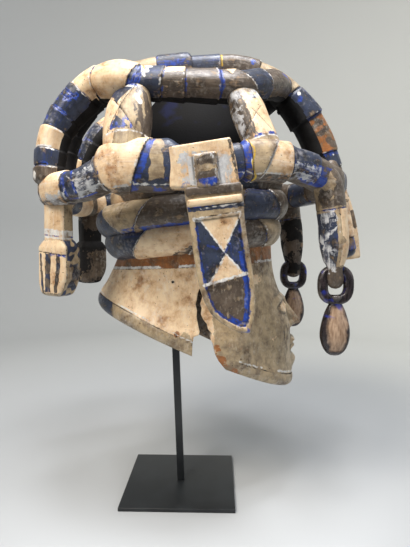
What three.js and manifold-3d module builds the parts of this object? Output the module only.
// A Gelede helmet mask, carved from one block of wood, on a small steel stand.
// Millimetres, +Z up. The origin is the middle of the stand plate's underside, and the mask faces +X.
import * as THREE from 'three';
import { mergeVertices } from 'three/addons/utils/BufferGeometryUtils.js';
import Module from 'manifold-3d';

const wasm = await Module();
wasm.setup();

// Stand.
const plateSide = 156;
const plateThickness = 5;
const plateTurn = THREE.MathUtils.degToRad(-5);
const rodSide = 10;
const rodLean = THREE.MathUtils.degToRad(-2);
const contactGap = 0.3;

// Mask. The free carving is laid out in 480ths of the mask's height above its lowest rim.
const maskHeight = 480;
const maskLift = 146;
const share = maskHeight / 480;

// Walls, bands and bores of the mask.
const helmetWall = 13;
const collarReach = 12;
const collarThickness = 13;
const rollRadius = 20;
const hoopRadius = 20;
const strandRadius = 18;
const centralRadius = 19;
const pillarRadius = 22;
const armRadius = 18;
const tailRadius = 13;

// Side sheaths.
const sheathFace = 174;
const sheathThickness = 13;
const blockThickness = 30;
const borderWidth = 8;
const borderRelief = 2.5;
const bossRelief = 3;

// Rear tassels.
const tasselDepth = 27;
const tasselNeckDepth = 19;
const tasselFacing = THREE.MathUtils.degToRad(125);

// Link pendants.
const linkWire = 6.2;
const linkHalfWidth = 18;
const linkHalfHeight = 19;
const linkPlay = 1.8;
const dropLength = 74;
const dropWidth = 38;
const dropDepth = 24;

// Break in the collar on the mask's right side.
const breakWidth = 15;

const COIL_STEPS = 24;
const HELMET_SIDES = 24;
const BAND_SIDES = 9;
const SLIM_SIDES = 8;
const LINK_SIDES = 7;
const LINK_STEPS = 14;

const material = (name, color, roughness, metalness = 0) =>
  new THREE.MeshStandardMaterial({ name, color, roughness, metalness });
const paintedWood = material('painted wood', 0xb89873, 0.75);
const darkWood = material('dark polished wood', 0x2c2422, 0.45);
const blackSteel = material('black steel', 0x17181a, 0.5, 0.6);

// A point of the carving, given in 480ths of the mask's height.
function at(x, y, z) {
  return new THREE.Vector3(x * share, y * share, maskLift + z * share);
}

// A closed solid from a geometry, with its faces pointing out.
function solid(geometry) {
  const bare = geometry.clone();
  bare.deleteAttribute('normal');
  bare.deleteAttribute('uv');
  const merged = mergeVertices(bare, 1e-3);
  const vertices = merged.attributes.position.array;
  const triangles = Array.from(merged.index.array);
  const a = new THREE.Vector3();
  const b = new THREE.Vector3();
  const c = new THREE.Vector3();
  const kept = [];
  let volume = 0;
  for (let i = 0; i < triangles.length; i += 3) {
    const [p, q, r] = triangles.slice(i, i + 3);
    if (p === q || q === r || r === p) continue;
    a.fromArray(vertices, p * 3);
    b.fromArray(vertices, q * 3);
    c.fromArray(vertices, r * 3);
    volume += a.dot(b.cross(c));
    kept.push(p, q, r);
  }
  if (volume < 0) {
    for (let i = 0; i < kept.length; i += 3) [kept[i], kept[i + 1]] = [kept[i + 1], kept[i]];
  }
  return new wasm.Manifold(new wasm.Mesh({
    numProp: 3,
    vertProperties: new Float32Array(vertices),
    triVerts: new Uint32Array(kept),
  }));
}

// The geometry of a finished solid.
function geometryOf(manifold) {
  const { vertProperties, triVerts } = manifold.getMesh();
  const geometry = new THREE.BufferGeometry();
  geometry.setAttribute('position', new THREE.BufferAttribute(new Float32Array(vertProperties), 3));
  geometry.setIndex(new THREE.BufferAttribute(new Uint32Array(triVerts), 1));
  geometry.computeVertexNormals();
  return geometry;
}

function moved(geometry, position, rotation = new THREE.Euler()) {
  const matrix = new THREE.Matrix4().makeRotationFromEuler(rotation).setPosition(position);
  return geometry.applyMatrix4(matrix);
}

// The middle of the cage, from which every band's outer side faces away.
const heart = at(20, 0, 290);

// The directions across a band at a point of its line: outward, and sideways.
function across(point, tangent) {
  const out = point.clone().sub(heart);
  out.addScaledVector(tangent, -out.dot(tangent)).normalize();
  return [out, new THREE.Vector3().crossVectors(out, tangent)];
}

// A closed band along a closed curve. radiiAt(t) gives its outward and sideways radii.
function ring(curve, radiiAt, steps, sides) {
  const geometry = new THREE.TorusGeometry(1, 0.25, sides, steps);
  const positions = geometry.attributes.position;
  const v = new THREE.Vector3();
  for (let i = 0; i < positions.count; i++) {
    v.fromBufferAttribute(positions, i);
    const turn = (Math.atan2(v.y, v.x) / (2 * Math.PI) + 1) % 1;
    const around = Math.atan2(v.z, Math.hypot(v.x, v.y) - 1);
    const t = Math.round(turn * steps) / steps % 1;
    const centre = curve.getPointAt(t);
    const [out, side] = across(centre, curve.getTangentAt(t));
    const [outward, sideways] = radiiAt(t);
    centre.addScaledVector(out, outward * Math.cos(around));
    centre.addScaledVector(side, sideways * Math.sin(around));
    positions.setXYZ(i, centre.x, centre.y, centre.z);
  }
  return solid(geometry);
}

// A band with two ends along an open curve. blunt is how much of each end is rounded over.
function band(curve, radiiAt, steps, sides, blunt = 0.5) {
  const profile = [new THREE.Vector2(0, 0)];
  profile.push(new THREE.Vector2(1 - 0.45 * blunt, 0));
  for (let i = 1; i < steps; i++) profile.push(new THREE.Vector2(1, i / steps));
  profile.push(new THREE.Vector2(1 - 0.45 * blunt, 1), new THREE.Vector2(0, 1));
  const geometry = new THREE.LatheGeometry(profile, sides);
  const positions = geometry.attributes.position;
  const v = new THREE.Vector3();
  for (let i = 0; i < positions.count; i++) {
    v.fromBufferAttribute(positions, i);
    const centre = curve.getPointAt(v.y);
    const [out, side] = across(centre, curve.getTangentAt(v.y));
    const [outward, sideways] = radiiAt(v.y);
    centre.addScaledVector(out, outward * v.x);
    centre.addScaledVector(side, sideways * v.z);
    positions.setXYZ(i, centre.x, centre.y, centre.z);
  }
  return solid(geometry);
}

// A body lofted through level or sloping rings, each given as a station of the helmet.
function loft(stations, sides) {
  const last = stations.length - 1;
  const profile = [new THREE.Vector2(0, 0)];
  for (let i = 0; i <= last; i++) profile.push(new THREE.Vector2(1, i));
  profile.push(new THREE.Vector2(0, last));
  const geometry = new THREE.LatheGeometry(profile, sides, Math.PI / 2);
  const positions = geometry.attributes.position;
  const v = new THREE.Vector3();
  for (let i = 0; i < positions.count; i++) {
    v.fromBufferAttribute(positions, i);
    const s = stations[Math.round(v.y)];
    const reach = Math.hypot(v.x, v.z) > 0.5 ? 1 : 0;
    const angle = Math.atan2(v.z, v.x);
    const along = (1 + reach * Math.cos(angle)) / 2;
    const point = new THREE.Vector3().lerpVectors(s.rear, s.front, along);
    point.y += reach * s.half * Math.sin(angle);
    positions.setXYZ(i, point.x, point.y, point.z);
  }
  return solid(geometry);
}

// A ring of the helmet: its rearmost and foremost points and its half width.
function station(rearX, rearZ, frontX, frontZ, half) {
  return { rear: at(rearX, 0, rearZ), front: at(frontX, 0, frontZ), half: half * share };
}

// The same ring drawn in by a wall, or let out where the wall is negative, and shifted in height.
function drawnIn(s, wall, drop = 0) {
  const rear = s.rear.clone();
  const front = s.front.clone();
  rear.x += wall;
  front.x -= wall;
  rear.z -= drop;
  front.z -= drop;
  return { rear, front, half: s.half - wall };
}

// Helmet walls from the collar up, then the dome of the hair inside the cage.
const wallStations = [
  station(-105, 140, 152, 24, 87),
  station(-97, 171, 157, 54, 87),
  station(-89, 189, 152, 84, 89),
  station(-86, 203, 137, 146, 90),
  station(-87, 225, 131, 196, 92),
  station(-89, 262, 131, 262, 93),
];
const domeStations = [
  station(-82, 300, 131, 306, 88),
  station(-66, 352, 119, 358, 76),
  station(-42, 397, 94, 402, 56),
  station(-8, 430, 60, 433, 28),
];
const ceilingStations = [
  station(-64, 285, 105, 287, 66),
  station(-38, 299, 76, 299, 40),
];

// The collar's two edges, let out from the lowest ring of the walls.
function collarStations() {
  const neck = wallStations[0];
  const lip = drawnIn(neck, -collarReach, 4 * share);
  return [drawnIn(neck, 2 - collarReach, 4 * share + collarThickness), lip];
}

function helmetBody() {
  const stations = [...collarStations(), ...wallStations, ...domeStations];
  return loft(stations, HELMET_SIDES);
}

function helmetHollow() {
  const inner = wallStations.map((s) => drawnIn(s, helmetWall));
  const mouth = drawnIn(wallStations[0], helmetWall, 2 * collarThickness + 10);
  return loft([mouth, ...inner, ...ceilingStations], HELMET_SIDES);
}

// A coil of the headwrap, as a closed line round the head.
class CoilLine extends THREE.Curve {
  constructor(rear, front, half) {
    super();
    this.rear = rear;
    this.front = front;
    this.half = half;
  }

  getPoint(t, target = new THREE.Vector3()) {
    const angle = t * 2 * Math.PI;
    target.lerpVectors(this.rear, this.front, (1 + Math.cos(angle)) / 2);
    target.y += this.half * Math.sin(angle);
    return target;
  }
}

function headwrap() {
  const coils = [
    new CoilLine(at(-85, 0, 208), at(124, 0, 227), 92 * share),
    new CoilLine(at(-98, 0, 237), at(134, 0, 263), 97 * share),
    new CoilLine(at(-78, 0, 268), at(126, 0, 297), 90 * share),
  ];
  const radii = () => [rollRadius, 1.12 * rollRadius];
  const rolls = coils.map((coil) => ring(coil, radii, COIL_STEPS, SLIM_SIDES));
  return rolls.reduce((whole, roll) => whole.add(roll));
}

// The hoop round the cage, from its rear middle over the right side to the front, then mirrored.
const hoopHalf = [
  [-166, 0, 270],
  [-157, 62, 271],
  [-147, 104, 272],
  [-109, 127, 276],
  [-65, 146, 292],
  [-20, 152, 293],
  [40, 154, 296],
  [98, 143, 302],
  [144, 122, 298],
  [183, 92, 288],
  [206, 46, 290],
];
const hoopFront = [213, 0, 292];

function hoopLine() {
  const right = hoopHalf.map(([x, y, z]) => at(x, -y, z));
  const left = hoopHalf.slice(1).reverse().map(([x, y, z]) => at(x, y, z));
  return new THREE.CatmullRomCurve3([...right, at(...hoopFront), ...left], true, 'centripetal');
}

// A smooth swelling of half width w round t = c, as a share from 0 to 1.
function swell(t, c, w) {
  const d = Math.min(Math.abs(t - c), 1 - Math.abs(t - c)) / w;
  return d < 1 ? (1 - d * d) ** 2 : 0;
}

function hoop() {
  const blocks = [[0.185, 0.05, 9], [0.228, 0.05, 7], [0.375, 0.05, 4]];
  const radii = (t) => {
    const mirrored = t > 0.5 ? 1 - t : t;
    const extra = blocks.reduce((sum, [c, w, h]) => sum + h * share * swell(mirrored, c, w), 0);
    return [hoopRadius + 0.5 * extra - 2, hoopRadius + extra];
  };
  return ring(hoopLine(), radii, 34, BAND_SIDES);
}

// The side band of the cage: up from the hoop's rear corner, along the top, in to the front crown.
function sideBand(side) {
  const line = new THREE.CatmullRomCurve3([
    at(-156, side * 100, 276),
    at(-155, side * 99, 310),
    at(-150, side * 96, 335),
    at(-139, side * 92, 357),
    at(-123, side * 90, 378),
    at(-101, side * 94, 396),
    at(-73, side * 108, 398),
    at(-41, side * 118, 393),
    at(-6, side * 122, 391),
    at(34, side * 122, 390),
    at(71, side * 112, 393),
    at(102, side * 82, 406),
    at(126, side * 44, 420),
    at(140, side * 10, 428),
  ], false, 'centripetal');
  const radii = (t) => {
    const extra = 4 * share * swell(t, 0.39, 0.07);
    return [strandRadius + extra, strandRadius + extra];
  };
  return band(line, radii, 24, BAND_SIDES);
}

// The middle band: from the hoop's rear over the top and down to the front crown's foot.
function centralBand() {
  const line = new THREE.CatmullRomCurve3([
    at(-166, 0, 276),
    at(-166, 0, 330),
    at(-149, 0, 376),
    at(-112, 0, 419),
    at(-51, 0, 445),
    at(-8, 0, 451),
    at(40, 0, 454),
    at(86, 0, 454),
    at(130, 0, 438),
    at(169, 0, 403),
    at(197, 0, 359),
    at(214, 0, 312),
    at(220, 0, 290),
  ], false, 'centripetal');
  const radii = (t) => {
    const crown = 6 * share * swell(t, 0.86, 0.2);
    const block = 6 * share * (Math.abs(t - 0.455) < 0.042 ? 1 : 0);
    return [centralRadius + 0.5 * crown + block, centralRadius + crown];
  };
  return band(line, radii, 28, BAND_SIDES);
}

// A pillar between the hoop and the side band: foot, head, radius and how far its middle swells.
function pillar(side, foot, head, radius, swelling) {
  const ends = [foot, head].map(([x, y, z]) => at(x, side * y, z));
  const line = new THREE.LineCurve3(...ends);
  const radii = (t) => {
    const r = radius + swelling * share * Math.sin(Math.PI * t);
    return [0.8 * r, r];
  };
  return band(line, radii, 5, SLIM_SIDES, 0);
}

function pillars(side) {
  const rear = pillar(side, [-62, 146, 300], [-56, 117, 388], pillarRadius, 5);
  const front = pillar(side, [100, 141, 300], [70, 117, 388], pillarRadius - 2, 1);
  return rear.add(front);
}

// A front arm, bent down from the hoop's corner, with the eye for its pendant near the tip.
const armTip = [193, 104];
const eyeHeight = 177;
const armBelowEye = 25;

function frontArm(side) {
  const [tipX, tipY] = armTip;
  const line = new THREE.CatmullRomCurve3([
    at(158, side * 108, 296),
    at(178, side * 105, 284),
    at(186, side * 104, eyeHeight + 73),
    at(190, side * 104, eyeHeight + 33),
    at(tipX, side * tipY, eyeHeight - armBelowEye),
  ], false, 'centripetal');
  const radii = (t) => {
    const taper = THREE.MathUtils.smoothstep(t, 0.62, 0.86);
    const tip = 1 - 0.5 * THREE.MathUtils.smoothstep(t, 0.86, 1);
    const outward = THREE.MathUtils.lerp(armRadius, 0.56 * armRadius, taper);
    const sideways = THREE.MathUtils.lerp(armRadius, 0.86 * armRadius, taper);
    return [outward * tip, sideways * tip];
  };
  return band(line, radii, 14, SLIM_SIDES);
}

// The oval of a link round the arm's tip, as thick as asked, with its top in the eye.
function oval(side, wire, drop) {
  const [x, y] = armTip;
  const top = at(x, side * y, eyeHeight);
  const link = new THREE.TorusGeometry(linkHalfWidth, wire, LINK_SIDES, LINK_STEPS);
  link.rotateX(Math.PI / 2);
  link.scale(1, 1, linkHalfHeight / linkHalfWidth);
  link.translate(top.x, top.y, top.z - linkHalfHeight - drop);
  return solid(link);
}

// One of the two tails that hang from the crown's foot in front of the hoop.
function frontTail(points, blunt) {
  const line = new THREE.CatmullRomCurve3(points.map((p) => at(...p)), false, 'centripetal');
  const radii = (t) => [tailRadius, tailRadius + 4 * share * (1 - t)];
  return band(line, radii, 9, SLIM_SIDES, blunt);
}

function frontTails() {
  const right = [[208, -12, 325], [221, -20, 285], [229, -26, 236], [236, -28, 190]];
  const left = [[210, 12, 325], [238, 20, 285], [256, 25, 236], [264, 28, 186]];
  return frontTail(right, 0.8).add(frontTail(left, 0));
}

// A slab with an outline in the mask's upright plane, between two depths on one side.
function slab(outline, side, outer, inner) {
  const depth = outer - inner;
  const geometry = new THREE.ExtrudeGeometry(outline, { depth, bevelEnabled: false, curveSegments: 5 });
  geometry.rotateX(Math.PI / 2);
  geometry.translate(0, side > 0 ? outer : -inner, maskLift);
  return solid(geometry);
}

// The sheath's edge from its top right corner down round the tip and up to its top left corner.
function sheathOutline(inset) {
  const half = (s) => Math.max((31.3 - 18 * s ** 10) * share - inset, 1.5 * share);
  const middle = (s) => [(34.7 + 20 * s + 9 * s ** 12) * share, (270 - 152 * s) * share];
  const right = [];
  const left = [];
  for (const s of [0, 0.3, 0.55, 0.7, 0.8, 0.88, 0.94, 1]) {
    const [x, z] = middle(s);
    const rise = s > 0 ? inset * s ** 8 : -inset;
    right.push(new THREE.Vector2(x + half(s), z + rise));
    left.push(new THREE.Vector2(x - half(s), z + rise));
  }
  const [tipX, tipZ] = middle(1);
  const tip = new THREE.Vector2(tipX + 5 * share, tipZ - 7 * share + inset);
  return [...right, tip, ...left.reverse()];
}

const blockOutline = [[-11, 312], [55, 322], [68, 268], [5, 266], [-6, 266]];
const bossOutline = [[12, 301], [38, 304], [42, 269], [16, 268]];

function shapeOf(points) {
  return new THREE.Shape(points.map(([x, z]) => new THREE.Vector2(x * share, z * share)));
}

// A sheath hung flat on the side of the hoop: its square block, boss, cross bands and long tongue.
function sheath(side) {
  const face = sheathFace * share;
  const tongue = slab(new THREE.Shape(sheathOutline(0)), side, face, face - sheathThickness);
  const field = slab(new THREE.Shape(sheathOutline(borderWidth)), side, face + 1, face - borderRelief);
  const block = slab(shapeOf(blockOutline), side, face, face - blockThickness);
  const boss = slab(shapeOf(bossOutline), side, face + bossRelief, face - 0.5 * blockThickness);
  let whole = tongue.subtract(field).add(block).add(boss);
  for (const [z, height] of [[258, 9], [246, 7]]) {
    const slope = 2;
    const left = 3 + (268 - z) * 0.25;
    const bar = [[left, z - height / 2], [left + 62, z + slope - height / 2],
      [left + 62, z + slope + height / 2], [left, z + height / 2]];
    whole = whole.add(slab(shapeOf(bar), side, face + 1.5, face - 0.5 * sheathThickness));
  }
  return whole;
}

// A rear tassel: a squared neck and a broader block below it, facing out and back.
function tasselPart(outline, depth, side) {
  const bevel = { bevelEnabled: true, bevelThickness: 3, bevelSize: 3, bevelOffset: -3, bevelSegments: 1 };
  const geometry = new THREE.ExtrudeGeometry(outline, { depth: depth - 6, curveSegments: 5, ...bevel });
  geometry.translate(0, 0, 3 - depth / 2);
  geometry.rotateX(Math.PI / 2);
  geometry.rotateZ(Math.PI / 2 + side * tasselFacing);
  geometry.translate(-147 * share, side * 99 * share, maskLift);
  return solid(geometry);
}

function tassel(side) {
  const neck = shapeOf([[-17, 208], [17, 208], [17, 270], [-17, 270]]);
  const block = new THREE.Shape();
  const w = 24 * share;
  block.moveTo(-w, 208 * share);
  block.lineTo(-w, 165 * share);
  block.quadraticCurveTo(-w, 147 * share, -0.5 * w, 144 * share);
  block.lineTo(0.5 * w, 144 * share);
  block.quadraticCurveTo(w, 147 * share, w, 165 * share);
  block.lineTo(w, 208 * share);
  block.lineTo(0.7 * w, 216 * share);
  block.lineTo(-0.7 * w, 216 * share);
  return tasselPart(neck, tasselNeckDepth, side).add(tasselPart(block, tasselDepth, side));
}

// An ellipsoid of the face or ears, turned about the sideways axis.
function lump(centre, radii, tilt = 0, segments = 10) {
  const geometry = new THREE.SphereGeometry(1, segments, Math.round(segments * 0.67));
  geometry.scale(...radii.map((r) => r * share));
  return solid(moved(geometry, at(...centre), new THREE.Euler(0, tilt, 0)));
}

// The face, in thirds from hairline to chin, leaning forward with the helmet's front.
const faceTop = [127, 176];
const faceLean = 0.22;
const faceHeight = 148;

function onFace(down, y, proud) {
  const x = faceTop[0] + faceHeight * down * Math.sin(faceLean) + proud * Math.cos(faceLean);
  const z = faceTop[1] - faceHeight * down * Math.cos(faceLean) + proud * Math.sin(faceLean);
  return [x, y, z];
}

function face() {
  let whole = lump(onFace(0.5, 0, -26), [34, 62, 84], -faceLean, 14);
  whole = whole.add(lump(onFace(0.56, 0, 6), [13, 9, 27], -faceLean - 0.25));
  whole = whole.add(lump(onFace(0.7, 0, 10), [12, 19, 10], -faceLean));
  whole = whole.add(lump(onFace(0.81, 0, 2), [15, 26, 7], -faceLean));
  whole = whole.add(lump(onFace(0.89, 0, 1), [14, 23, 7], -faceLean));
  whole = whole.add(lump(onFace(1.02, 0, -12), [22, 34, 18], -faceLean));
  for (const side of [-1, 1]) {
    whole = whole.add(lump(onFace(0.42, side * 32, -6), [13, 19, 10], -faceLean));
    whole = whole.add(lump(onFace(0.3, side * 32, -8), [14, 26, 7], -faceLean));
    whole = whole.add(lump([62, side * 92, 128], [13, 8, 24], 0.2));
  }
  return whole;
}

// The gap where the collar and the wall above it are broken away on the right side.
function breakGap() {
  const outline = [[15, 40], [17, 96], [24, 122], [26, 150], [28, 151], [29, 138], [31, 110],
    [15 + breakWidth + 8, 92], [15 + breakWidth + 4, 40]];
  const inner = 0.45 * wallStations[0].half;
  return slab(shapeOf(outline), -1, 2 * wallStations[0].half, inner);
}

function mask() {
  let whole = helmetBody().add(face()).add(headwrap());
  whole = whole.subtract(helmetHollow()).subtract(breakGap());
  whole = whole.add(hoop()).add(centralBand()).add(frontTails());
  for (const side of [-1, 1]) {
    const parts = [sideBand(side), pillars(side), frontArm(side), sheath(side), tassel(side)];
    for (const part of parts) whole = whole.add(part);
    whole = whole.subtract(oval(side, linkWire + linkPlay, 0));
  }
  return whole;
}

// A pendant: an upright oval link through the arm's eye, with a drop below it, carved as one.
function pendant(side) {
  const [x, y] = armTip;
  const hang = linkPlay - contactGap;
  const top = at(x, side * y, eyeHeight);
  const profile = [];
  for (let i = 0; i <= 9; i++) {
    const s = i / 9;
    const r = s === 0 || s === 1 ? 0 : 0.5 * dropWidth * Math.sin(Math.PI * s ** 0.72) ** 0.62;
    profile.push(new THREE.Vector2(r, dropLength * s));
  }
  const drop = new THREE.LatheGeometry(profile, 12);
  drop.rotateX(Math.PI / 2);
  drop.scale(1, dropDepth / dropWidth, 1);
  drop.translate(top.x, top.y, top.z - hang - 2 * linkHalfHeight + 0.5 * linkWire - dropLength);
  return oval(side, linkWire, hang).add(solid(drop));
}

function place(name, geometry, surface) {
  const mesh = new THREE.Mesh(geometry, surface);
  mesh.name = name;
  return mesh;
}

const group = new THREE.Group();
group.add(place('mask', geometryOf(mask()), paintedWood));
group.add(place('link_pendant_right', geometryOf(pendant(-1)), darkWood));
group.add(place('link_pendant_left', geometryOf(pendant(1)), darkWood));

// The rod leans back a little, and its top stops just short of the flat ceiling of the helmet.
const ceiling = ceilingStations[ceilingStations.length - 1].rear.z;
const leanRise = rodSide * Math.sin(Math.abs(rodLean));
const rodLength = (ceiling - plateThickness - 2 * contactGap - leanRise) / Math.cos(rodLean);
const plate = place('stand_plate', new THREE.BoxGeometry(plateSide, plateSide, plateThickness), blackSteel);
plate.position.z = plateThickness / 2;
const rod = place('stand_rod', new THREE.BoxGeometry(rodSide, rodSide, rodLength), blackSteel);
rod.position.z = rodLength / 2;
const rodFoot = new THREE.Group();
rodFoot.position.z = plateThickness + contactGap + leanRise / 2;
rodFoot.rotation.y = rodLean;
rodFoot.add(rod);
const stand = new THREE.Group();
stand.rotation.z = plateTurn;
stand.add(plate, rodFoot);
group.add(stand);

export default group;
